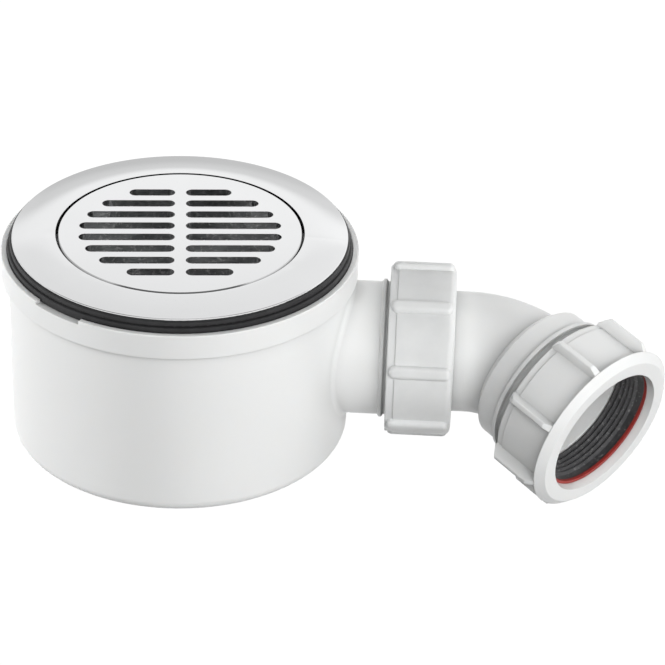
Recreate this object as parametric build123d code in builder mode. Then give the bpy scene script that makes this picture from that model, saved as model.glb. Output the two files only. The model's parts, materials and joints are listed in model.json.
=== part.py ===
from build123d import *
from math import cos, radians, sin, sqrt
import os

# Shower trap for a 90 mm tray hole: a cup body that hangs under the tray, a plated flange with a lift-out
# grid and dip tube, and a 45 degree outlet bend that swivels in a screwed coupling.
# Millimetres. The origin is the centre of the base, +Z is up and +X runs along the outlet spigot.

# Body cup. The inner weir wall stands in it and holds the water seal.
body_radius = 58.75
body_wall = 2.6
floor_wall = 2.6
bottom_round = 4.0
weir_wall = 2.0
weir_gap = 5.5

# Body rim, the ring that closes the cup, with the seat for the gasket and the neck for the flange tail
seat_height = 69.9
rim_overhang = 2.5
rim_drop = 7.6
rim_lip = 1.2
rim_lip_wall = 1.95
rim_edge_round = 0.35
deck_wall = 3.4
neck_wall = 3.0
neck_depth = 17.9
notch_angle = 233.1
notch_span = 18.4

# Gaskets that grip the tray from both sides
gasket_width = 13.9
body_gasket_height = 3.0
flange_gasket_height = 1.9
flange_gasket_setback = 0.8
gasket_edge_round = 0.35

# Tray flange
flange_setback = 0.7
flange_edge = 0.7
flange_dome = 0.85
flange_edge_round = 0.3
tail_wall = 4.0
tail_length = 24.8
recess_wall = 1.9

# Grid
grid_plate = 2.2
grid_bevel = 0.5
grid_clock = 5.2
slot_pitch = 8.0
slot_width = 4.6
slot_bridge = 3.8
slot_margin = 6.85

# Dip tube and the O-ring that seals it in the flange tail
dip_passage = 6.0
dip_wall = 2.0
dip_gap = 6.3
dip_collar = 2.0
dip_shelf = 3.0
dip_rim_height = 8.25
dip_rim_wall = 4.6
overflow_gap = 5.0
o_ring_section = 2.9
o_ring_land = 1.4

# Outlet spigot on the body
outlet_height = 33.7
spigot_length = 27.75
spigot_wall = 3.4
spigot_relief = 2.0
spigot_root_round = 2.0
spigot_ring_height = 0.9
spigot_ring_width = 2.1
spigot_ring_bevel = 0.6
spigot_ring_setback = 14.7
spigot_thread_length = 12.5

# Screwed couplings: the sizes that both nuts and both threaded ends share
thread_depth = 1.2
thread_clearance = 0.2
nut_wall = 2.7
nut_band = 2.8
nut_band_step = 0.4
nut_back_round = 0.5
rib_count = 8
rib_sink = 1.0

# Spigot nut, with its flat seal
spigot_seal_height = 2.4
spigot_nut_length = 22.8
spigot_nut_lip = 3.75
spigot_nut_round = 2.2
spigot_rib_width = 4.6
spigot_rib_height = 1.9
spigot_rib_crown = 1.6
spigot_rib_inset = 0.7
spigot_rib_clock = -15.0

# Outlet bend
tube_radius = 20.95
tube_wall = 2.45
tail_collar_width = 2.6
tail_collar_gap = 1.0
tail_run_length = 8.4
bend_radius = 33.3
bend_angle = 45.0
bend_droop = 17.0

# Pipe socket at the end of the bend, measured along the outlet from the end of the bend
pipe_bore = 21.7
pipe_stop = 2.0
socket_back = -3.5
socket_wall = 3.7
socket_bevel = 2.2
socket_end = 26.0
socket_mouth_wall = 1.6
stop_ring_front = 8.2
stop_ring_width = 1.4
stop_ring_height = 1.6

# Ridged pipe seal and slip washer in the socket's mouth
seal_sleeve_length = 7.4
seal_sleeve_wall = 0.7
seal_head_height = 4.4
seal_groove_depth = 1.1
seal_ridge_height = 0.8
seal_ridges = 5
seal_plain_length = 2.6
washer_height = 1.0
washer_gap = 1.5
washer_lift = 1.1

# Outlet nut, with a sloped collar round its face and tall tapered finger ribs
outlet_nut_length = 22.9
outlet_nut_lip = 3.05
outlet_nut_gap = 1.7
outlet_nut_draft = 0.4
outlet_collar_setback = 0.3
outlet_collar_height = 2.2
outlet_collar_land = 0.3
outlet_face_inset = 2.9
outlet_face_round = 0.4
outlet_rib_foot = 3.3
outlet_rib_tip = 1.8
outlet_rib_height = 4.1
outlet_rib_crown = 0.5
outlet_rib_inset = 0.3
outlet_rib_step = 0.7
outlet_rib_ramp = 2.8
outlet_rib_slope = 2.8
outlet_rib_end = 1.9
outlet_rib_clock = 7.8

# Clearances between pieces that seat, slide or screw together
thrust_clearance = 0.05
joint_clearance = 0.1
slip_clearance = 0.3
grid_clearance = 0.6

# Heights of the stack above the base. The weir top and the dip tube's end set a 50 mm water seal.
cup_top = seat_height - deck_wall
lip_top = seat_height + rim_lip
body_gasket_top = seat_height + body_gasket_height
flange_under = body_gasket_top + flange_gasket_height
flange_edge_top = flange_under + flange_edge
grid_top = flange_edge_top + flange_dome
grid_under = grid_top - grid_plate
ledge_height = grid_under - dip_collar
tail_bottom = flange_under - tail_length
shelf_under = ledge_height - dip_rim_height
weir_top = shelf_under - overflow_gap
dip_bottom = floor_wall + dip_gap

# Radii about the upright axis, from the rim inwards
rim_radius = body_radius + rim_overhang
body_gasket_radius = rim_radius - rim_lip_wall - slip_clearance
flange_gasket_radius = body_gasket_radius - flange_gasket_setback
flange_radius = flange_gasket_radius - flange_setback
gasket_inner = body_gasket_radius - gasket_width
neck_inner = gasket_inner - slip_clearance
neck_outer = neck_inner + neck_wall
tail_radius = neck_inner - slip_clearance
tail_inner = tail_radius - tail_wall
recess_radius = tail_radius - recess_wall
grid_radius = recess_radius - grid_clearance
slot_reach = grid_radius - slot_margin
slot_rows = int(2 * slot_reach / slot_pitch)
weir_radius = tail_inner - weir_gap
dip_rim_radius = tail_inner - slip_clearance
dip_mouth = dip_rim_radius - dip_rim_wall
dip_radius = weir_radius - weir_wall - dip_passage

# Radii of the couplings, from the pipe outwards
seal_groove_radius = pipe_bore + seal_groove_depth
seal_sleeve_radius = seal_groove_radius + seal_sleeve_wall
thread_root = seal_sleeve_radius + joint_clearance + socket_mouth_wall
thread_bore = thread_root + thread_depth + thread_clearance
nut_radius = thread_bore + nut_wall
socket_radius = pipe_bore + socket_wall
stop_ring_radius = thread_root + stop_ring_height
washer_bore = pipe_bore + washer_gap
washer_radius = thread_bore - slip_clearance - washer_lift
seal_head_radius = thread_bore - slip_clearance
outlet_nut_bore = pipe_bore + outlet_nut_gap
outlet_collar_radius = nut_radius + outlet_collar_height
outlet_face_radius = outlet_collar_radius - outlet_face_inset
spigot_radius = thread_root - spigot_relief
spigot_bore = spigot_radius - spigot_wall
spigot_ring_radius = spigot_radius + spigot_ring_height
tail_collar_radius = thread_bore - tail_collar_gap
tube_bore = tube_radius - tube_wall

# Places along the outlet spigot
spigot_end = body_radius + spigot_length
spigot_ring_front = spigot_end - spigot_ring_setback
spigot_ring_back = spigot_ring_front - spigot_ring_width
spigot_thread_start = spigot_end - spigot_thread_length
spigot_seal_front = spigot_end + spigot_seal_height
tail_collar_back = spigot_seal_front + thrust_clearance
tail_collar_front = tail_collar_back + tail_collar_width
spigot_nut_shoulder = tail_collar_front + thrust_clearance
spigot_nut_front = spigot_nut_shoulder + spigot_nut_lip
spigot_nut_back = spigot_nut_front - spigot_nut_length
bend_start = tail_collar_front + tail_run_length

# Places along the outlet from the end of the bend
seal_back = socket_end - seal_sleeve_length
seal_front = socket_end + seal_head_height
washer_front = seal_front + washer_height
outlet_nut_shoulder = washer_front + thrust_clearance
outlet_nut_front = outlet_nut_shoulder + outlet_nut_lip
outlet_nut_back = outlet_nut_front - outlet_nut_length
collar_back = outlet_nut_shoulder + outlet_collar_setback
collar_front = collar_back + outlet_collar_land

# Working planes: one along the spigot, one that holds the bend, one along the outlet
droop = radians(bend_droop)
spigot_plane = Plane(origin=(0, 0, outlet_height), x_dir=(0, -1, 0), z_dir=(1, 0, 0))
bend_plane = Plane(origin=(0, 0, outlet_height), x_dir=(1, 0, 0), z_dir=(0, sin(droop), -cos(droop)))
with BuildLine(bend_plane) as run:
    tail_run = Line((tail_collar_back, 0), (bend_start, 0))
    JernArc(tail_run @ 1, tail_run % 1, bend_radius, bend_angle)
outlet_plane = Plane(origin=run.line @ 1, x_dir=bend_plane.z_dir, z_dir=run.line % 1)

# The loose washer lies a little above the middle of the nut
washer_middle = outlet_plane.from_local_coords((-washer_lift, 0, 0))
washer_plane = Plane(origin=washer_middle, x_dir=outlet_plane.x_dir, z_dir=outlet_plane.z_dir)


def section(plane):
    """The plane for a half section: across is the radius, up is the way along the plane's own axis."""
    return Plane(origin=plane.origin, x_dir=plane.x_dir, z_dir=-plane.y_dir)


def turning_axis(plane):
    """The axis that a half section turns about."""
    return Axis(plane.origin, plane.z_dir)


def turned(plane, points):
    """A turned solid from the corners of its half section."""
    with BuildPart() as solid:
        with BuildSketch(section(plane)):
            with BuildLine():
                Polyline(*points, close=True)
            make_face()
        revolve(axis=turning_axis(plane))
    return solid.part


def ring(plane, inner, outer, start, end):
    """A plain flat ring between two places on the plane's axis."""
    return turned(plane, [(inner, start), (outer, start), (outer, end), (inner, end)])


def outer_circles(piece):
    """The two widest full circles among a piece's edges."""
    circles = piece.edges().filter_by(GeomType.CIRCLE).filter_by(lambda edge: edge.is_closed)
    return circles.sort_by(SortBy.RADIUS)[-2:]


def end_circle(piece, axis, end, size):
    """A circle among a piece's edges: at its near or far end along an axis, the smallest or the widest there."""
    circles = piece.edges().filter_by(GeomType.CIRCLE)
    return circles.group_by(axis)[end].sort_by(SortBy.RADIUS)[size]


def nut_barrel(plane, back, front):
    """The plain barrel of a nut: a narrow set-back band at its open end, then the full radius."""
    with BuildPart() as barrel:
        add(ring(plane, thread_bore, nut_radius - nut_band_step, back, back + nut_band))
        add(ring(plane, thread_bore, nut_radius, back + nut_band, front))
    return barrel.part


def grip_ribs(plane, clock, width, height, crown, start, end):
    """Finger ribs round a nut: bars with round ends and a rounded crown, sunk into the barrel."""
    root = nut_radius - rib_sink
    with BuildPart() as rib:
        with BuildSketch(Plane.YZ.offset(root)):
            with Locations((0, (start + end) / 2)):
                SlotOverall(end - start, width, rotation=90)
        extrude(amount=rib_sink + height)
        fillet(rib.faces().sort_by(Axis.X)[-1].edges(), crown)
    with BuildPart(plane) as ribs:
        with PolarLocations(0, rib_count, start_angle=clock):
            add(rib.part)
    return ribs.part


def fin_rib(start, end):
    """One tall finger rib of the outlet nut: ramps at both ends, and thinner at the tip than at the foot."""
    root = nut_radius - rib_sink
    tip = nut_radius + outlet_rib_height
    with BuildPart() as rib:
        with BuildSketch(Plane.XZ):
            with BuildLine():
                Polyline(
                    (root, start),
                    (nut_radius + outlet_rib_step, start),
                    (tip, start + outlet_rib_ramp),
                    (tip, end - outlet_rib_slope),
                    (nut_radius + outlet_rib_end, end),
                    (root, end),
                    close=True,
                )
            make_face()
        extrude(amount=outlet_rib_foot, both=True)
        with BuildSketch(Plane.XY):
            with BuildLine():
                Polyline(
                    (root, -outlet_rib_foot / 2),
                    (tip, -outlet_rib_tip / 2),
                    (tip, outlet_rib_tip / 2),
                    (root, outlet_rib_foot / 2),
                    close=True,
                )
            make_face()
        extrude(amount=2 * end, mode=Mode.INTERSECT)
        fillet(rib.faces().sort_by(Axis.X)[-1].edges(), outlet_rib_crown)
    return rib.part


# Trap body: cup, weir wall and outlet spigot, moulded in one
with BuildPart() as trap_body:
    Cylinder(body_radius, cup_top, align=(Align.CENTER, Align.CENTER, Align.MIN))
    fillet(trap_body.edges().sort_by(Axis.Z)[0], bottom_round)
    add(ring(spigot_plane, 0, spigot_radius, 0, spigot_thread_start))
    fillet(trap_body.edges(Select.LAST).filter_by(GeomType.BSPLINE), spigot_root_round)
    add(
        turned(
            spigot_plane,
            [
                (0, spigot_ring_back),
                (spigot_radius, spigot_ring_back),
                (spigot_ring_radius, spigot_ring_back + spigot_ring_bevel),
                (spigot_ring_radius, spigot_ring_front - spigot_ring_bevel),
                (spigot_radius, spigot_ring_front),
                (0, spigot_ring_front),
            ],
        )
    )
    add(ring(spigot_plane, 0, thread_root, spigot_thread_start, spigot_end))
    with BuildSketch(Plane.XY.offset(floor_wall)):
        Circle(body_radius - body_wall)
    extrude(amount=cup_top - floor_wall, mode=Mode.SUBTRACT)
    add(ring(spigot_plane, 0, spigot_bore, weir_radius, spigot_end), mode=Mode.SUBTRACT)
    with BuildSketch(Plane.XY.offset(floor_wall)):
        Circle(weir_radius)
        Circle(weir_radius - weir_wall, mode=Mode.SUBTRACT)
    extrude(amount=weir_top - floor_wall)

# Body rim: skirt over the cup, deck under the gasket, lip round it and neck for the flange tail
with BuildPart() as body_rim:
    add(ring(Plane.XY, neck_inner, rim_radius, cup_top, seat_height))
    add(ring(Plane.XY, neck_inner, neck_outer, seat_height - neck_depth, cup_top))
    add(ring(Plane.XY, body_radius + joint_clearance, rim_radius, seat_height - rim_drop, cup_top))
    add(ring(Plane.XY, body_gasket_radius + slip_clearance, rim_radius, seat_height, lip_top))
    fillet(outer_circles(body_rim), rim_edge_round)
    with BuildSketch(Plane.XY.offset(seat_height)):
        with BuildLine():
            notch_side = PolarLine((0, 0), 2 * rim_radius, notch_angle - notch_span / 2)
            notch_end = PolarLine((0, 0), 2 * rim_radius, notch_angle + notch_span / 2)
            Line(notch_side @ 1, notch_end @ 1)
        make_face()
    extrude(amount=rim_lip, mode=Mode.SUBTRACT)

# Gaskets
with BuildPart() as body_gasket:
    add(ring(Plane.XY, gasket_inner, body_gasket_radius, seat_height, body_gasket_top))
    fillet(outer_circles(body_gasket), gasket_edge_round)

with BuildPart() as flange_gasket:
    add(ring(Plane.XY, gasket_inner, flange_gasket_radius, body_gasket_top, flange_under))
    fillet(outer_circles(flange_gasket), gasket_edge_round)

# Flange: domed ring on the tray, recess for the grid and tail down through the tray hole
with BuildPart() as flange_ring:
    with BuildSketch(Plane.XZ):
        with BuildLine():
            dome_middle = ((flange_radius + recess_radius) / 2, flange_edge_top + 0.8 * flange_dome)
            ThreePointArc((flange_radius, flange_edge_top), dome_middle, (recess_radius, grid_top))
            Polyline(
                (recess_radius, grid_top),
                (recess_radius, ledge_height),
                (tail_inner, ledge_height),
                (tail_inner, tail_bottom),
                (tail_radius, tail_bottom),
                (tail_radius, flange_under),
                (flange_radius, flange_under),
                (flange_radius, flange_edge_top),
            )
        make_face()
    revolve(axis=Axis.Z)
    fillet(outer_circles(flange_ring).sort_by(Axis.Z)[-1], flange_edge_round)

# Grid: rows of slots on both sides of a middle bridge
with BuildPart() as strainer_grid:
    with BuildSketch(Plane.XY.offset(grid_under).rotated((0, 0, grid_clock))):
        Circle(grid_radius)
        for row in range(slot_rows):
            across = (row - (slot_rows - 1) / 2) * slot_pitch
            outer_end = sqrt(slot_reach**2 - (abs(across) + slot_width / 2) ** 2)
            inner_end = slot_bridge / 2
            for side in (-1, 1):
                with Locations((side * (outer_end + inner_end) / 2, across)):
                    SlotOverall(outer_end - inner_end, slot_width, mode=Mode.SUBTRACT)
    extrude(amount=grid_plate)
    chamfer(strainer_grid.faces().sort_by(Axis.Z)[-1].outer_wire().edges(), grid_bevel)

# Dip tube: collar on the flange ledge, O-ring groove, shelf and tube into the weir
groove_low = shelf_under + o_ring_land
groove_high = groove_low + o_ring_section + slip_clearance
groove_radius = dip_rim_radius - o_ring_section
with BuildPart() as dip_tube:
    add(
        turned(
            Plane.XY,
            [
                (dip_mouth, grid_under),
                (recess_radius - slip_clearance, grid_under),
                (recess_radius - slip_clearance, ledge_height),
                (dip_rim_radius, ledge_height),
                (dip_rim_radius, groove_high),
                (groove_radius, groove_high),
                (groove_radius, groove_low),
                (dip_rim_radius, groove_low),
                (dip_rim_radius, shelf_under),
                (dip_radius, shelf_under),
                (dip_radius, dip_bottom),
                (dip_radius - dip_wall, dip_bottom),
                (dip_radius - dip_wall, shelf_under + dip_wall),
                (dip_mouth, shelf_under + dip_shelf),
            ],
        )
    )

with BuildPart() as dip_tube_o_ring:
    with BuildSketch(Plane.XZ):
        with Locations((groove_radius + joint_clearance + o_ring_section / 2, (groove_low + groove_high) / 2)):
            Circle(o_ring_section / 2)
    revolve(axis=Axis.Z)

# Spigot coupling: flat seal and ribbed nut
with BuildPart() as spigot_seal:
    add(ring(spigot_plane, spigot_bore, thread_root, spigot_end, spigot_seal_front))

with BuildPart() as spigot_nut:
    add(nut_barrel(spigot_plane, spigot_nut_back, spigot_nut_shoulder))
    add(ring(spigot_plane, tube_radius + slip_clearance, nut_radius, spigot_nut_shoulder, spigot_nut_front))
    fillet(end_circle(spigot_nut, turning_axis(spigot_plane), -1, -1), spigot_nut_round)
    fillet(end_circle(spigot_nut, turning_axis(spigot_plane), 0, -1), nut_back_round)
    add(
        grip_ribs(
            spigot_plane,
            spigot_rib_clock,
            spigot_rib_width,
            spigot_rib_height,
            spigot_rib_crown,
            spigot_nut_back + spigot_rib_inset,
            spigot_nut_front - spigot_rib_inset,
        )
    )

# Outlet bend: clamped collar, swept tube and threaded pipe socket
with BuildPart() as elbow:
    with BuildSketch(Plane(origin=run.line @ 0, z_dir=run.line % 0)):
        Circle(tube_radius)
    sweep(path=run.line)
    add(ring(spigot_plane, 0, tail_collar_radius, tail_collar_back, tail_collar_front))
    add(
        turned(
            outlet_plane,
            [
                (0, socket_back),
                (socket_radius - socket_bevel, socket_back),
                (socket_radius, socket_back + socket_bevel),
                (socket_radius, stop_ring_front - stop_ring_width),
                (stop_ring_radius, stop_ring_front - stop_ring_width),
                (stop_ring_radius, stop_ring_front),
                (thread_root, stop_ring_front),
                (thread_root, socket_end),
                (0, socket_end),
            ],
        )
    )
    with BuildSketch(Plane(origin=run.line @ 0, z_dir=run.line % 0)):
        Circle(tube_bore)
    sweep(path=run.line, mode=Mode.SUBTRACT)
    add(ring(outlet_plane, 0, tube_bore, 0, pipe_stop), mode=Mode.SUBTRACT)
    add(ring(outlet_plane, 0, pipe_bore, pipe_stop, socket_end), mode=Mode.SUBTRACT)
    add(
        ring(outlet_plane, 0, seal_sleeve_radius + joint_clearance, seal_back, socket_end),
        mode=Mode.SUBTRACT,
    )

# Ridged pipe seal: sleeve in the socket's mouth, plain head under the slip washer, ridges round the pipe
ridges_front = seal_front - seal_plain_length
ridge_pitch = (ridges_front - seal_back) / seal_ridges
ridge_points = [(seal_groove_radius, seal_front), (seal_groove_radius, ridges_front)]
for ridge in range(seal_ridges):
    ridge_top = ridges_front - ridge * ridge_pitch
    ridge_points.append((seal_groove_radius - seal_ridge_height, ridge_top - ridge_pitch / 2))
    ridge_points.append((seal_groove_radius, ridge_top - ridge_pitch))
with BuildPart() as outlet_seal:
    add(
        turned(
            outlet_plane,
            ridge_points
            + [
                (seal_sleeve_radius, seal_back),
                (seal_sleeve_radius, socket_end),
                (seal_head_radius, socket_end),
                (seal_head_radius, seal_front),
            ],
        )
    )

with BuildPart() as slip_washer:
    add(ring(washer_plane, washer_bore, washer_radius, seal_front, washer_front))

# Outlet nut: barrel with finger ribs, sloped front collar and a lip over the slip washer
with BuildPart() as outlet_nut:
    add(nut_barrel(outlet_plane, outlet_nut_back, outlet_nut_shoulder))
    add(
        turned(
            outlet_plane,
            [
                (outlet_nut_bore, outlet_nut_shoulder),
                (nut_radius, outlet_nut_shoulder),
                (nut_radius, collar_back),
                (outlet_collar_radius, collar_back),
                (outlet_collar_radius, collar_front),
                (outlet_face_radius, outlet_nut_front),
                (outlet_nut_bore + outlet_nut_draft, outlet_nut_front),
            ],
        )
    )
    fillet(end_circle(outlet_nut, turning_axis(outlet_plane), -1, -1), outlet_face_round)
    fillet(end_circle(outlet_nut, turning_axis(outlet_plane), 0, -1), nut_back_round)
    with BuildPart(outlet_plane, mode=Mode.ADD):
        with PolarLocations(0, rib_count, start_angle=outlet_rib_clock):
            add(fin_rib(outlet_nut_back + outlet_rib_inset, collar_front))

os.makedirs("parts", exist_ok=True)
nodes = {
    "trap_body": trap_body,
    "body_rim": body_rim,
    "body_gasket": body_gasket,
    "flange_gasket": flange_gasket,
    "flange_ring": flange_ring,
    "strainer_grid": strainer_grid,
    "dip_tube": dip_tube,
    "dip_tube_o_ring": dip_tube_o_ring,
    "spigot_seal": spigot_seal,
    "spigot_nut": spigot_nut,
    "elbow": elbow,
    "outlet_seal": outlet_seal,
    "slip_washer": slip_washer,
    "outlet_nut": outlet_nut,
}
for name, node in nodes.items():
    node.part.label = name
    export_step(node.part, f"parts/{name}.step")
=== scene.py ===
"""Dresses a packed shower trap, winds its screw threads and sets it in a plain white studio."""

import json
import math

import bpy
from bpy.props import FloatProperty, FloatVectorProperty, IntProperty, PointerProperty
from mathutils import Matrix, Vector


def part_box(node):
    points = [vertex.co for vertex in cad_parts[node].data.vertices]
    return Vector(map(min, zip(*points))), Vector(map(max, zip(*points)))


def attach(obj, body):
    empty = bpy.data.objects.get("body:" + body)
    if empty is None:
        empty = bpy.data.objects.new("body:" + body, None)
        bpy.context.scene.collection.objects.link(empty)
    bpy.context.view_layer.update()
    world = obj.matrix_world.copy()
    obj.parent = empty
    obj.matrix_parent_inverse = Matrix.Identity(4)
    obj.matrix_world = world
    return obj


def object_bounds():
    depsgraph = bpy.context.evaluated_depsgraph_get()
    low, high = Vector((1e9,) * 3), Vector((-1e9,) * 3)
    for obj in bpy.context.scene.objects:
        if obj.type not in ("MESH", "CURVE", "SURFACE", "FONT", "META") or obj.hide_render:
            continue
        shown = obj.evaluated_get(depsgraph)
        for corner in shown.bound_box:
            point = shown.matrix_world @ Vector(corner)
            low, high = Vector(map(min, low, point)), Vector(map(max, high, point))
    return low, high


bl_info = {
    "name": "Shower Trap",
    "version": (1, 0, 0),
    "blender": (4, 5, 0),
    "location": "View3D > Sidebar > Shower Trap",
    "description": "Dresses a packed shower trap and sets it in a plain studio",
    "category": "Object",
}

# Width and focal length of the photograph in pixels, and width of the camera's sensor in millimetres
PICTURE_WIDTH = 665
PICTURE_FOCUS = 2872.34
SENSOR_WIDTH = 36.0

# Noise: the range that it mostly keeps to, its roughness, and the detail of clouds, flecks and grain
NOISE_LOW = 0.3
NOISE_HIGH = 0.7
NOISE_ROUGHNESS = 0.55
CLOUD_DETAIL = 3.0
FLECK_DETAIL = 4.0
GRAIN_DETAIL = 2.0

# Painted shade in creases and gaps: the share of open sky where it is darkest, and where a face is clear of it
CREASE_SHUT = 0.4
CREASE_CLEAR = 0.95
CREASE_SAMPLES = 12

# Other values that finishes share: a fleck's soft edge, samples for edges, refraction and sheen
FLECK_EDGE = 0.06
EDGE_SAMPLES = 6
PLASTIC_IOR = 1.49
SHEEN_ROUGHNESS = 0.5

# Floor: width in metres, the grey that takes the shadow, and the glow that lifts it to white for the camera
FLOOR_WIDTH = 12.0
FLOOR_GREY = 0.08
FLOOR_GLOW = 0.97

# Lamps: their distance in metres, and for each one its azimuth and elevation in degrees,
# then its width and height in metres
LAMP_DISTANCE = 1.6
LAMPS = {
    "back": (180, 60, 1.3, 0.8),
    "rear": (180, 12, 1.0, 1.0),
    "left": (-95, 8, 0.5, 1.0),
    "front": (5, 30, 1.0, 1.0),
    "right": (40, 14, 1.0, 1.0),
    "side": (85, 15, 1.0, 1.0),
    "edge": (125, 45, 1.0, 1.0),
}

# Grey of the room in a mirror, all round and behind, by the height of the direction,
# where one is straight up
ROOM_ROUND = (
    (0.0, 0.62), (0.12, 0.8), (0.25, 0.95), (0.7, 0.95), (0.77, 0.18), (0.94, 0.18), (0.985, 0.8)
)
ROOM_BEHIND = (
    (0.0, 0.55), (0.3, 0.62), (0.4, 0.74), (0.455, 1.0), (0.475, 1.0), (0.515, 0.88), (0.69, 0.84),
    (0.76, 0.12), (0.94, 0.12), (0.985, 0.8)
)

# The wall behind in a mirror: how far left its middle is, how it fades sideways, how it starts in depth
WALL_LEFT = 0.07
WALL_FADE = -6.0
WALL_REACH = 1.8
WALL_START = 3.0

# The room in a mirror grows paler to the right, from its level in the middle up to a limit
PALER_SLOPE = 0.3
PALER_MIDDLE = 1.02
PALER_LIMIT = 1.1

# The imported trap, and the places that its joints give
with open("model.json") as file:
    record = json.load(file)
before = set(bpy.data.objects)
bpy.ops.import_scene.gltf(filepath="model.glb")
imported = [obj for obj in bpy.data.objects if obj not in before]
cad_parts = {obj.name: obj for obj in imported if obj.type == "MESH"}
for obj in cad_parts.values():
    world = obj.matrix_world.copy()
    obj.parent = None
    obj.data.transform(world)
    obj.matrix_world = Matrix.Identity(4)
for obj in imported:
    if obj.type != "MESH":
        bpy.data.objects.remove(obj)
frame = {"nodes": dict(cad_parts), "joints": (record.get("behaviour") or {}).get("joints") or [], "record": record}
cad_low, cad_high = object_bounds()
joints = {joint["name"]: joint for joint in frame["joints"]}
outlet_axis = Vector(joints["outlet_nut_turn"]["axis"]).normalized()
outlet_nut_back = Vector(joints["outlet_nut_turn"]["pos_m"])
spigot_axis = Vector(joints["bend_swivel"]["axis"]).normalized()
spigot_face = Vector(joints["bend_swivel"]["pos_m"])


class TrapSizes(bpy.types.PropertyGroup):
    """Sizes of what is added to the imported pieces, in metres."""

    thread_root: FloatProperty(
        name="Thread root", description="Radius that the threads stand on",
        default=0.0252, unit="LENGTH"
    )
    thread_height: FloatProperty(
        name="Thread height", description="How far a thread stands out of its root",
        default=0.0011, unit="LENGTH"
    )
    thread_pitch: FloatProperty(
        name="Thread pitch", description="Way along the axis for one turn",
        default=0.0042, unit="LENGTH"
    )
    thread_foot: FloatProperty(
        name="Thread foot", description="Width of a thread at its root",
        default=0.0026, unit="LENGTH"
    )
    thread_crest: FloatProperty(
        name="Thread crest", description="Width of a thread at its crest",
        default=0.0011, unit="LENGTH"
    )
    thread_steps: IntProperty(
        name="Thread steps", description="Points of the helix in one turn",
        default=96, min=24
    )
    socket_thread: FloatProperty(
        name="Socket thread length", description="Length of the thread on the pipe socket",
        default=0.0126, unit="LENGTH"
    )
    spigot_thread: FloatProperty(
        name="Spigot thread length", description="Length of the thread on the body's spigot",
        default=0.0082, unit="LENGTH"
    )


class TrapColours(bpy.types.PropertyGroup):
    """Base colours of the finishes."""

    white: FloatVectorProperty(
        name="White plastic", description="Moulded white polypropylene", subtype="COLOR",
        default=(0.865, 0.872, 0.866), min=0, max=1
    )
    natural: FloatVectorProperty(
        name="Natural plastic", description="Undyed cloudy polypropylene", subtype="COLOR",
        default=(0.8, 0.81, 0.805), min=0, max=1
    )
    plating: FloatVectorProperty(
        name="Plating", description="Bright plated plastic", subtype="COLOR",
        default=(0.86, 0.865, 0.87), min=0, max=1
    )
    grey: FloatVectorProperty(
        name="Grey plastic", description="Grey dip tube", subtype="COLOR",
        default=(0.42, 0.424, 0.43), min=0, max=1
    )
    red: FloatVectorProperty(
        name="Red washer", description="Thin red slip washer", subtype="COLOR",
        default=(0.3, 0.028, 0.022), min=0, max=1
    )
    rubber: FloatVectorProperty(
        name="Black rubber", description="Gaskets and flat seals", subtype="COLOR",
        default=(0.013, 0.013, 0.014), min=0, max=1
    )
    seal: FloatVectorProperty(
        name="Seal rubber", description="Ridged pipe seal", subtype="COLOR",
        default=(0.045, 0.045, 0.047), min=0, max=1
    )


class TrapStudio(bpy.types.PropertyGroup):
    """The camera's place, as read from the photograph, and the level of the light."""

    azimuth: FloatProperty(
        name="Azimuth", description="Camera's turn about the upright axis",
        default=math.radians(1.92), subtype="ANGLE"
    )
    elevation: FloatProperty(
        name="Elevation", description="Camera's height angle",
        default=math.radians(30.97), subtype="ANGLE"
    )
    roll: FloatProperty(
        name="Roll", description="Camera's lean",
        default=math.radians(1.68), subtype="ANGLE"
    )
    distance: FloatProperty(
        name="Distance", description="Camera to the point it looks at",
        default=1.0, unit="LENGTH"
    )
    focus: FloatProperty(
        name="Focal length", description="Focal length in picture widths",
        default=PICTURE_FOCUS / PICTURE_WIDTH
    )
    target: FloatVectorProperty(
        name="Target", description="Point that the camera looks at", subtype="XYZ", unit="LENGTH",
        default=(0.05306, 0.0, 0.03885)
    )
    floor_gap: FloatProperty(
        name="Floor gap", description="Floor below the trap, clear of the bend when it is turned down",
        default=0.05, unit="LENGTH"
    )
    back_power: FloatProperty(
        name="Back light", description="Watts of the high lamp behind",
        default=3.0, unit="POWER"
    )
    rear_power: FloatProperty(
        name="Rear light", description="Watts of the low lamp behind",
        default=10.0, unit="POWER"
    )
    left_power: FloatProperty(
        name="Left light", description="Watts of the lamp on the left",
        default=28.0, unit="POWER"
    )
    front_power: FloatProperty(
        name="Front light", description="Watts of the lamp in front",
        default=11.5, unit="POWER"
    )
    right_power: FloatProperty(
        name="Right light", description="Watts of the lamp in front on the right",
        default=13.2, unit="POWER"
    )
    side_power: FloatProperty(
        name="Side light", description="Watts of the lamp at the outlet's side",
        default=6.2, unit="POWER"
    )
    edge_power: FloatProperty(
        name="Edge light", description="Watts of the lamp behind on the right",
        default=4.9, unit="POWER"
    )
    ambient: FloatProperty(
        name="Ambient", description="Strength of the room's own light",
        default=0.03, min=0, max=1, subtype="FACTOR"
    )


class TrapSettings(bpy.types.PropertyGroup):
    """All the settings together."""

    sizes: PointerProperty(type=TrapSizes)
    colours: PointerProperty(type=TrapColours)
    studio: PointerProperty(type=TrapStudio)


def settings():
    """The trap's own settings in the current scene."""
    return bpy.context.scene.shower_trap


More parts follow.
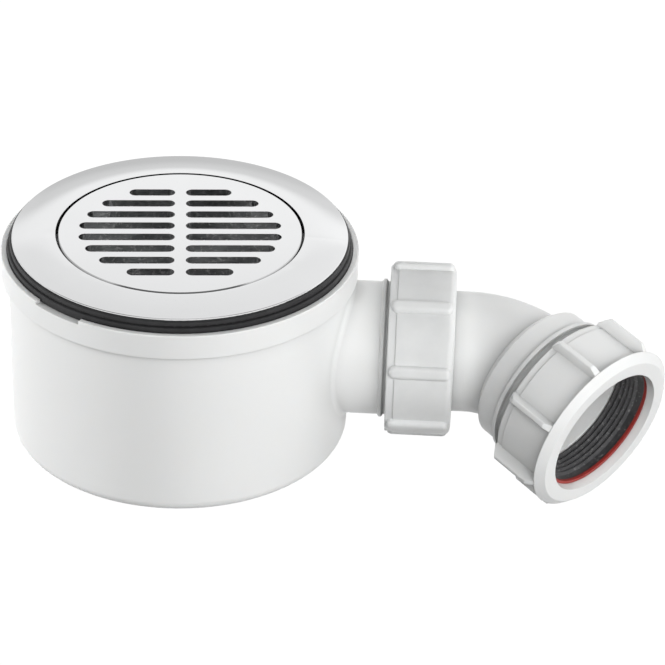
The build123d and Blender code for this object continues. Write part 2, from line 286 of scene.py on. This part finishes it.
class Finish:
    """A material under construction: adds nodes and joins them."""

    def __init__(self, name):
        self.material = bpy.data.materials.new(name)
        self.material.use_nodes = True
        self.tree = self.material.node_tree
        self.shader = self.tree.nodes["Principled BSDF"]
        self.place = self.node("ShaderNodeTexCoord").outputs["Object"]

    def node(self, kind, **values):
        """A new node; each value goes to the input of its name, or else to the node's option."""
        node = self.tree.nodes.new(kind)
        for key, value in values.items():
            if key in node.inputs:
                node.inputs[key].default_value = value
            else:
                setattr(node, key, value)
        return node

    def join(self, source, target):
        """Joins a node's output to another node's input."""
        self.tree.links.new(source, target)

    def shade(self, values):
        """Sets inputs of the shader by their names."""
        for name, value in values.items():
            self.shader.inputs[name].default_value = value

    def noise(self, scale, detail=CLOUD_DETAIL):
        """A noise over the piece, with its scale in bumps to a metre."""
        noise = self.node("ShaderNodeTexNoise", Scale=scale, Detail=detail, Roughness=NOISE_ROUGHNESS)
        self.join(self.place, noise.inputs["Vector"])
        return noise.outputs["Fac"]

    def spread(self, factor, start, end, low=0.0, high=1.0):
        """A factor between start and end stretched to the range from low to high."""
        limits = self.node("ShaderNodeMapRange")
        limits.inputs["From Min"].default_value = start
        limits.inputs["From Max"].default_value = end
        limits.inputs["To Min"].default_value = low
        limits.inputs["To Max"].default_value = high
        self.join(factor, limits.inputs["Value"])
        return limits.outputs["Result"]

    def colour(self, base, change, scale):
        """The base colour with a soft cloudy change of brightness over the piece."""
        ramp = self.node("ShaderNodeValToRGB")
        darker, paler = ramp.color_ramp.elements
        darker.position = NOISE_LOW
        darker.color = (*[part * (1 - change) for part in base], 1)
        paler.position = NOISE_HIGH
        paler.color = (*[min(1, part * (1 + change)) for part in base], 1)
        self.join(self.noise(scale), ramp.inputs["Fac"])
        self.join(ramp.outputs["Color"], self.shader.inputs["Base Color"])

    def colour_so_far(self):
        """The output that gives the shader its base colour until now."""
        return self.shader.inputs["Base Color"].links[0].from_socket

    def dull_gaps(self, reach, darkest):
        """Paints shade into the colour where other faces stand within reach, as in gaps and creases."""
        # Painted shade: the base colour is scaled down by how much of the sky nearby faces hide
        open_sky = self.node("ShaderNodeAmbientOcclusion", samples=CREASE_SAMPLES, Distance=reach)
        level = self.spread(open_sky.outputs["AO"], CREASE_SHUT, CREASE_CLEAR, low=darkest)
        painted_shade_colour = self.node("ShaderNodeVectorMath", operation="SCALE")
        self.join(self.colour_so_far(), painted_shade_colour.inputs["Vector"])
        self.join(level, painted_shade_colour.inputs["Scale"])
        self.join(painted_shade_colour.outputs["Vector"], self.shader.inputs["Base Color"])

    def flecks(self, scale, least, colour):
        """Small pale flecks over the colour, wherever a noise is more than the least."""
        share = self.spread(self.noise(scale, FLECK_DETAIL), least, least + FLECK_EDGE)
        mixed = self.node("ShaderNodeMix", data_type="RGBA")
        mixed.inputs["B"].default_value = (*colour, 1)
        self.join(share, mixed.inputs["Factor"])
        self.join(self.colour_so_far(), mixed.inputs["A"])
        self.join(mixed.outputs["Result"], self.shader.inputs["Base Color"])

    def surface(self, rough, rough_scale, grain_scale, grain_depth, edge=None):
        """Roughness that varies in a range, a fine grain and, where given, edges that catch the light."""
        gloss = self.spread(self.noise(rough_scale), NOISE_LOW, NOISE_HIGH, *rough)
        self.join(gloss, self.shader.inputs["Roughness"])
        bump = self.node("ShaderNodeBump", Strength=1.0, Distance=grain_depth)
        self.join(self.noise(grain_scale, GRAIN_DETAIL), bump.inputs["Height"])
        if edge:
            bevel = self.node("ShaderNodeBevel", samples=EDGE_SAMPLES, Radius=edge)
            self.join(bevel.outputs["Normal"], bump.inputs["Normal"])
        self.join(bump.outputs["Normal"], self.shader.inputs["Normal"])

    def cloudy(self, weight, radius):
        """Polypropylene that carries light under its skin, as far as the radius of each colour."""
        self.shade({
            "IOR": PLASTIC_IOR,
            "Subsurface Weight": weight,
            "Subsurface Radius": radius,
            "Subsurface Scale": 1.0,
        })

    def sheen(self, weight):
        """The dull sheen of rubber at a low angle."""
        self.shade({"Sheen Weight": weight, "Sheen Roughness": SHEEN_ROUGHNESS})


def white_plastic():
    """Moulded white polypropylene: soft gloss, a little light carried under the skin, fine grain."""
    finish = Finish("white_plastic")
    finish.colour(settings().colours.white, change=0.006, scale=18)
    # Painted shade: the colour darkens in creases and where parts meet
    finish.dull_gaps(reach=0.007, darkest=0.65)
    finish.surface((0.29, 0.33), rough_scale=60, grain_scale=2600, grain_depth=0.000012, edge=0.0003)
    finish.cloudy(weight=0.15, radius=(0.0022, 0.002, 0.0018))
    return finish.material


def natural_plastic():
    """Undyed polypropylene: cloudy, greyer than white, light glows through thin ribs."""
    finish = Finish("natural_plastic")
    finish.colour(settings().colours.natural, change=0.03, scale=120)
    finish.surface((0.28, 0.4), rough_scale=110, grain_scale=2200, grain_depth=0.000014, edge=0.0003)
    finish.cloudy(weight=0.45, radius=(0.0045, 0.0044, 0.0042))
    return finish.material


def plated_plastic():
    """Bright plating on moulded plastic, with a faint orange-peel wave and painted shade darkening its narrow
    gaps.
    """
    finish = Finish("plated_plastic")
    finish.colour(settings().colours.plating, change=0.01, scale=40)
    # Painted shade: the plating's colour goes nearly black in narrow gaps and round the grid
    finish.dull_gaps(reach=0.002, darkest=0.02)
    finish.surface((0.04, 0.07), rough_scale=70, grain_scale=260, grain_depth=0.0000015)
    finish.shade({"Metallic": 1.0})
    return finish.material


def grey_plastic():
    """Grey moulded plastic of the dip tube, with pale specks of scale."""
    finish = Finish("grey_plastic")
    finish.colour(settings().colours.grey, change=0.2, scale=180)
    finish.flecks(scale=700, least=0.57, colour=(0.8, 0.8, 0.79))
    finish.surface((0.35, 0.5), rough_scale=140, grain_scale=1800, grain_depth=0.00003)
    return finish.material


def red_plastic():
    """Thin red plastic sheet."""
    finish = Finish("red_plastic")
    finish.colour(settings().colours.red, change=0.12, scale=300)
    finish.surface((0.4, 0.55), rough_scale=200, grain_scale=2400, grain_depth=0.00001)
    return finish.material


def black_rubber():
    """Moulded black rubber: dull sheen, bloom in pale clouds, fine grain."""
    finish = Finish("black_rubber")
    finish.colour(settings().colours.rubber, change=0.35, scale=220)
    finish.surface((0.42, 0.58), rough_scale=160, grain_scale=3200, grain_depth=0.00003, edge=0.0002)
    finish.sheen(0.06)
    return finish.material


def seal_rubber():
    """Softer rubber of the pipe seal: greyer and drier than the gaskets, with chalk left from the mould."""
    finish = Finish("seal_rubber")
    finish.colour(settings().colours.seal, change=0.3, scale=260)
    finish.flecks(scale=900, least=0.6, colour=(0.14, 0.14, 0.14))
    finish.surface((0.38, 0.55), rough_scale=220, grain_scale=1800, grain_depth=0.00006, edge=0.0002)
    finish.sheen(0.1)
    return finish.material


FINISHES = {
    "white_plastic": white_plastic,
    "natural_plastic": natural_plastic,
    "plated_plastic": plated_plastic,
    "grey_plastic": grey_plastic,
    "red_plastic": red_plastic,
    "black_rubber": black_rubber,
    "seal_rubber": seal_rubber,
}


def finish_for(slot):
    """The material of a slot of the record, made at its first use."""
    made = bpy.data.materials.get(slot)
    if made and made.get("trap_finish"):
        return made
    if made:
        made.name = slot + "_packed"
    material = FINISHES[slot]()
    material["trap_finish"] = True
    return material


def dress(*nodes, finish=None):
    """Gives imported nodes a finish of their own, or that of the slot that the record names for them."""
    slots = {piece["node"]: piece["material_slot"] for piece in frame["record"]["subparts"]}
    for node in nodes:
        packed = frame["nodes"][node]
        material = finish_for(finish or slots[node])
        packed.data.materials.clear()
        packed.data.materials.append(material)


def turn_to(axis):
    """The turn that lays the upright axis along the given one."""
    return Vector((0, 0, 1)).rotation_difference(axis).to_euler()


class NodeTree:
    """A Geometry Nodes tree under construction, with named inputs."""

    def __init__(self, name):
        self.tree = bpy.data.node_groups.new(name, "GeometryNodeTree")
        self.tree.interface.new_socket("Geometry", in_out="OUTPUT", socket_type="NodeSocketGeometry")
        self.source = self.tree.nodes.new("NodeGroupInput")
        self.result = self.tree.nodes.new("NodeGroupOutput")
        self.values = {}

    def input(self, name, kind, value):
        """A named input of the tree; its value is set on the modifier later."""
        socket = self.tree.interface.new_socket(name, in_out="INPUT", socket_type=kind)
        self.values[socket.identifier] = value
        return self.source.outputs[name]

    def node(self, kind, links, **options):
        """A new node with its options set and other nodes' outputs joined to its inputs."""
        node = self.tree.nodes.new(kind)
        for key, value in options.items():
            setattr(node, key, value)
        for key, source in links.items():
            self.tree.links.new(source, node.inputs[key])
        return node

    def piece(self, name, geometry, material):
        """Ends the tree, runs it on an empty mesh and returns the plain mesh object that it gives."""
        realized = self.node("GeometryNodeRealizeInstances", {"Geometry": geometry})
        coated = self.node("GeometryNodeSetMaterial", {"Geometry": realized.outputs["Geometry"]})
        coated.inputs["Material"].default_value = material
        self.tree.links.new(coated.outputs["Geometry"], self.result.inputs["Geometry"])
        carrier = bpy.data.objects.new(name, bpy.data.meshes.new(name))
        bpy.context.scene.collection.objects.link(carrier)
        modifier = carrier.modifiers.new(self.tree.name, "NODES")
        modifier.node_group = self.tree
        for identifier, value in self.values.items():
            modifier[identifier] = value
        graph = bpy.context.evaluated_depsgraph_get()
        mesh = bpy.data.meshes.new_from_object(carrier.evaluated_get(graph))
        carrier.modifiers.remove(modifier)
        carrier.data = mesh
        mesh.name = name
        return carrier


def thread_piece(name, start, axis, length):
    """A right-hand screw thread with a trapezoid section, wound round an axis from its start."""
    sizes = settings().sizes
    turns = length / sizes.thread_pitch
    tree = NodeTree(name)
    root = tree.input("Root radius", "NodeSocketFloat", sizes.thread_root)
    run = tree.input("Length", "NodeSocketFloat", length)
    rounds = tree.input("Turns", "NodeSocketFloat", turns)
    steps = tree.input("Steps in a turn", "NodeSocketInt", sizes.thread_steps)
    height = tree.input("Thread height", "NodeSocketFloat", sizes.thread_height)
    foot = tree.input("Foot width", "NodeSocketFloat", sizes.thread_foot)
    crest = tree.input("Crest width", "NodeSocketFloat", sizes.thread_crest)
    place = tree.input("Place", "NodeSocketVector", tuple(start))
    turn = tree.input("Turn", "NodeSocketRotation", tuple(turn_to(axis)))
    helix = tree.node(
        "GeometryNodeCurveSpiral",
        {"Resolution": steps, "Rotations": rounds, "Start Radius": root, "End Radius": root, "Height": run},
    )
    upright = tree.node("GeometryNodeSetCurveNormal", {"Curve": helix.outputs["Curve"]}, mode="Z_UP")
    shape = tree.node(
        "GeometryNodeCurvePrimitiveQuadrilateral",
        {"Height": height, "Bottom Width": foot, "Top Width": crest},
        mode="TRAPEZOID",
    )
    shape.inputs["Offset"].default_value = 0
    wound = tree.node(
        "GeometryNodeCurveToMesh",
        {"Curve": upright.outputs["Curve"], "Profile Curve": shape.outputs["Curve"]},
    )
    wound.inputs["Fill Caps"].default_value = True
    placed = tree.node(
        "GeometryNodeTransform",
        {"Geometry": wound.outputs["Mesh"], "Translation": place, "Rotation": turn},
    )
    return tree.piece(name, placed.outputs["Geometry"], finish_for("white_plastic"))


def ride_with_finish(piece, body):
    """Lets a new piece move with a body."""
    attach(piece, body)


class SHOWERTRAP_OT_body(bpy.types.Operator):
    """Dresses the cup body and its rim"""

    bl_idname = "shower_trap.body"
    bl_label = "Body"

    def execute(self, context):
        dress("trap_body", "body_rim")
        return {"FINISHED"}


class SHOWERTRAP_OT_flange(bpy.types.Operator):
    """Dresses the plated flange, its grid and the gaskets under it"""

    bl_idname = "shower_trap.flange"
    bl_label = "Flange and gaskets"

    def execute(self, context):
        dress("flange_ring", "strainer_grid", "body_gasket", "flange_gasket")
        return {"FINISHED"}


class SHOWERTRAP_OT_dip_tube(bpy.types.Operator):
    """Dresses the dip tube and its O-ring"""

    bl_idname = "shower_trap.dip_tube"
    bl_label = "Dip tube"

    def execute(self, context):
        dress("dip_tube", "dip_tube_o_ring")
        return {"FINISHED"}


class SHOWERTRAP_OT_spigot_coupling(bpy.types.Operator):
    """Dresses the cloudy nut and flat seal on the spigot and winds the spigot's thread"""

    bl_idname = "shower_trap.spigot_coupling"
    bl_label = "Spigot coupling"

    def execute(self, context):
        dress("spigot_nut", "spigot_seal")
        sizes = settings().sizes
        seal_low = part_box("spigot_seal")[0]
        start_x = seal_low.x - sizes.spigot_thread - sizes.thread_foot
        start = Vector((start_x, spigot_face.y, spigot_face.z))
        thread = thread_piece("spigot_thread", start, spigot_axis, sizes.spigot_thread)
        ride_with_finish(thread, "trap")
        return {"FINISHED"}


class SHOWERTRAP_OT_bend(bpy.types.Operator):
    """Dresses the outlet bend and winds the thread of its pipe socket"""

    bl_idname = "shower_trap.bend"
    bl_label = "Outlet bend"

    def execute(self, context):
        dress("elbow")
        length = settings().sizes.socket_thread
        thread = thread_piece("socket_thread", outlet_nut_back, outlet_axis, length)
        ride_with_finish(thread, "bend")
        return {"FINISHED"}


class SHOWERTRAP_OT_outlet_coupling(bpy.types.Operator):
    """Dresses the outlet nut, the ridged pipe seal and the slip washer"""

    bl_idname = "shower_trap.outlet_coupling"
    bl_label = "Outlet coupling"

    def execute(self, context):
        dress("outlet_nut", "slip_washer")
        dress("outlet_seal", finish="seal_rubber")
        return {"FINISHED"}


def math_node(tree, operation, first, second=0, third=0, clamp=False):
    """A sum worked out in the nodes; each value is a number or another node's output."""
    node = tree.nodes.new("ShaderNodeMath")
    node.operation = operation
    node.use_clamp = clamp
    for socket, value in zip(node.inputs, (first, second, third)):
        if isinstance(value, (int, float)):
            socket.default_value = value
        else:
            tree.links.new(value, socket)
    return node.outputs[0]


def seen_directly(tree):
    """One for rays from the camera, off a mirror or through something clear, else nothing."""
    path = tree.nodes.new("ShaderNodeLightPath")
    seen = path.outputs["Is Camera Ray"]
    for ray in ("Is Glossy Ray", "Is Transmission Ray"):
        seen = math_node(tree, "MAXIMUM", seen, path.outputs[ray])
    return seen


def floor_finish():
    """A floor that is white to look at, takes the trap's shadow and throws little light back up."""
    material = bpy.data.materials.new("studio_floor")
    material.use_nodes = True
    tree = material.node_tree
    tree.nodes.remove(tree.nodes["Principled BSDF"])
    shaded = tree.nodes.new("ShaderNodeBsdfDiffuse")
    shaded.inputs["Color"].default_value = (FLOOR_GREY, FLOOR_GREY, FLOOR_GREY, 1)
    glow = tree.nodes.new("ShaderNodeEmission")
    glow.inputs["Strength"].default_value = FLOOR_GLOW
    lifted = tree.nodes.new("ShaderNodeAddShader")
    tree.links.new(shaded.outputs["BSDF"], lifted.inputs[0])
    tree.links.new(glow.outputs["Emission"], lifted.inputs[1])
    choice = tree.nodes.new("ShaderNodeMixShader")
    tree.links.new(seen_directly(tree), choice.inputs["Fac"])
    tree.links.new(shaded.outputs["BSDF"], choice.inputs[1])
    tree.links.new(lifted.outputs["Shader"], choice.inputs[2])
    tree.links.new(choice.outputs["Shader"], tree.nodes["Material Output"].inputs["Surface"])
    return material


def band_ramp(tree, height, bands):
    """The grey of the room by the height of a direction."""
    ramp = tree.nodes.new("ShaderNodeValToRGB")
    ramp.color_ramp.interpolation = "EASE"
    stops = ramp.color_ramp.elements
    ready = len(stops)
    for count, (level, grey) in enumerate(bands):
        stop = stops[count] if count < ready else stops.new(level)
        stop.position = level
        stop.color = (grey, grey, grey, 1)
    tree.links.new(height, ramp.inputs["Fac"])
    return ramp.outputs["Color"]


def mirrored_room(tree):
    """What a mirror shows of the room: pale walls, a dark band above them, and greys of its own behind."""
    direction = tree.nodes.new("ShaderNodeTexCoord")
    parts = tree.nodes.new("ShaderNodeSeparateXYZ")
    tree.links.new(direction.outputs["Generated"], parts.inputs["Vector"])
    across, depth, height = parts.outputs
    aside = math_node(tree, "ABSOLUTE", math_node(tree, "ADD", across, WALL_LEFT))
    narrow = math_node(tree, "MULTIPLY_ADD", aside, WALL_FADE, WALL_REACH, clamp=True)
    ahead = math_node(tree, "MULTIPLY", depth, WALL_START, clamp=True)
    mixed = tree.nodes.new("ShaderNodeMix")
    mixed.data_type = "RGBA"
    tree.links.new(math_node(tree, "MULTIPLY", narrow, ahead), mixed.inputs["Factor"])
    tree.links.new(band_ramp(tree, height, ROOM_ROUND), mixed.inputs["A"])
    tree.links.new(band_ramp(tree, height, ROOM_BEHIND), mixed.inputs["B"])
    rising = math_node(tree, "MULTIPLY_ADD", across, PALER_SLOPE, PALER_MIDDLE)
    paler = math_node(tree, "MINIMUM", rising, PALER_LIMIT)
    shade = tree.nodes.new("ShaderNodeVectorMath")
    shade.operation = "SCALE"
    tree.links.new(mixed.outputs["Result"], shade.inputs["Vector"])
    tree.links.new(paler, shade.inputs["Scale"])
    return shade.outputs["Vector"]


def room():
    """A white room for the camera, with soft greys for mirrors, which lights the trap only a little."""
    world = bpy.data.worlds.new("studio_room")
    world.use_nodes = True
    tree = world.node_tree
    background = tree.nodes["Background"]
    path = tree.nodes.new("ShaderNodeLightPath")
    seen = tree.nodes.new("ShaderNodeMix")
    seen.data_type = "RGBA"
    seen.inputs["A"].default_value = (1, 1, 1, 1)
    tree.links.new(path.outputs["Is Glossy Ray"], seen.inputs["Factor"])
    tree.links.new(mirrored_room(tree), seen.inputs["B"])
    tree.links.new(seen.outputs["Result"], background.inputs["Color"])
    level = tree.nodes.new("ShaderNodeMapRange")
    level.inputs["To Min"].default_value = settings().studio.ambient
    level.inputs["To Max"].default_value = 1.0
    tree.links.new(seen_directly(tree), level.inputs["Value"])
    tree.links.new(level.outputs["Result"], background.inputs["Strength"])
    bpy.context.scene.world = world


def way_out(azimuth, elevation):
    """The direction from the trap to a place at these two angles, in radians."""
    level = math.cos(elevation)
    return Vector((math.sin(azimuth) * level, -math.cos(azimuth) * level, math.sin(elevation)))


def lamp(name, azimuth, elevation, width, height, watts):
    """A soft rectangular lamp that faces the trap; mirrors show the room without it."""
    data = bpy.data.lights.new(name, "AREA")
    data.shape = "RECTANGLE"
    data.size = width
    data.size_y = height
    data.energy = watts
    lamp_object = bpy.data.objects.new(name, data)
    bpy.context.scene.collection.objects.link(lamp_object)
    away = way_out(math.radians(azimuth), math.radians(elevation))
    lamp_object.location = Vector(settings().studio.target) + LAMP_DISTANCE * away
    lamp_object.rotation_euler = away.to_track_quat("Z", "Y").to_euler()
    lamp_object.visible_glossy = False


def photo_camera():
    """The camera at the photograph's place, with its lean and focal length."""
    studio = settings().studio
    back = way_out(studio.azimuth, studio.elevation)
    level = Vector((math.cos(studio.azimuth), math.sin(studio.azimuth), 0))
    upward = back.cross(level)
    right = math.cos(studio.roll) * level + math.sin(studio.roll) * upward
    top = -math.sin(studio.roll) * level + math.cos(studio.roll) * upward
    data = bpy.data.cameras.new("photo_camera")
    data.sensor_width = SENSOR_WIDTH
    data.lens = studio.focus * SENSOR_WIDTH
    camera = bpy.data.objects.new("photo_camera", data)
    bpy.context.scene.collection.objects.link(camera)
    facing = Matrix((right, top, back)).transposed().to_4x4()
    camera.matrix_world = Matrix.Translation(Vector(studio.target) + studio.distance * back) @ facing
    bpy.context.scene.camera = camera


class SHOWERTRAP_OT_stage(bpy.types.Operator):
    """Sets the trap in a plain white studio with soft lamps and the photograph's camera"""

    bl_idname = "shower_trap.stage"
    bl_label = "Studio"

    def execute(self, context):
        studio = settings().studio
        floor_place = (0, 0, cad_low.z - studio.floor_gap)
        bpy.ops.mesh.primitive_plane_add(size=FLOOR_WIDTH, location=floor_place)
        floor = context.object
        floor.name = "studio_floor"
        floor.data.materials.append(floor_finish())
        room()
        for name, (azimuth, elevation, width, height) in LAMPS.items():
            watts = getattr(studio, name + "_power")
            lamp(name + "_lamp", azimuth, elevation, width, height, watts)
        photo_camera()
        context.scene.view_settings.view_transform = "Standard"
        return {"FINISHED"}


class SHOWERTRAP_PT_panel(bpy.types.Panel):
    """Lists the pieces, the stage and their settings"""

    bl_idname = "SHOWERTRAP_PT_panel"
    bl_label = "Shower Trap"
    bl_space_type = "VIEW_3D"
    bl_region_type = "UI"
    bl_category = "Shower Trap"

    def draw(self, context):
        for operator in OPERATORS:
            self.layout.operator(operator.bl_idname)
        for group in (settings().sizes, settings().colours, settings().studio):
            box = self.layout.box()
            for name in group.bl_rna.properties.keys():
                if name not in {"rna_type", "name"}:
                    box.prop(group, name)


OPERATORS = (
    SHOWERTRAP_OT_body,
    SHOWERTRAP_OT_flange,
    SHOWERTRAP_OT_dip_tube,
    SHOWERTRAP_OT_spigot_coupling,
    SHOWERTRAP_OT_bend,
    SHOWERTRAP_OT_outlet_coupling,
    SHOWERTRAP_OT_stage,
)
CLASSES = (TrapSizes, TrapColours, TrapStudio, TrapSettings, *OPERATORS, SHOWERTRAP_PT_panel)


def register():
    """Makes the classes known, and gives every scene the settings."""
    for item in CLASSES:
        bpy.utils.register_class(item)
    bpy.types.Scene.shower_trap = PointerProperty(type=TrapSettings)


def unregister():
    """Takes the settings and the classes away again."""
    del bpy.types.Scene.shower_trap
    for item in reversed(CLASSES):
        bpy.utils.unregister_class(item)


def main():
    """Builds everything in order."""
    register()
    for operator in OPERATORS:
        group, name = operator.bl_idname.split(".")
        getattr(getattr(bpy.ops, group), name)()


if __name__ == "__main__":
    main()
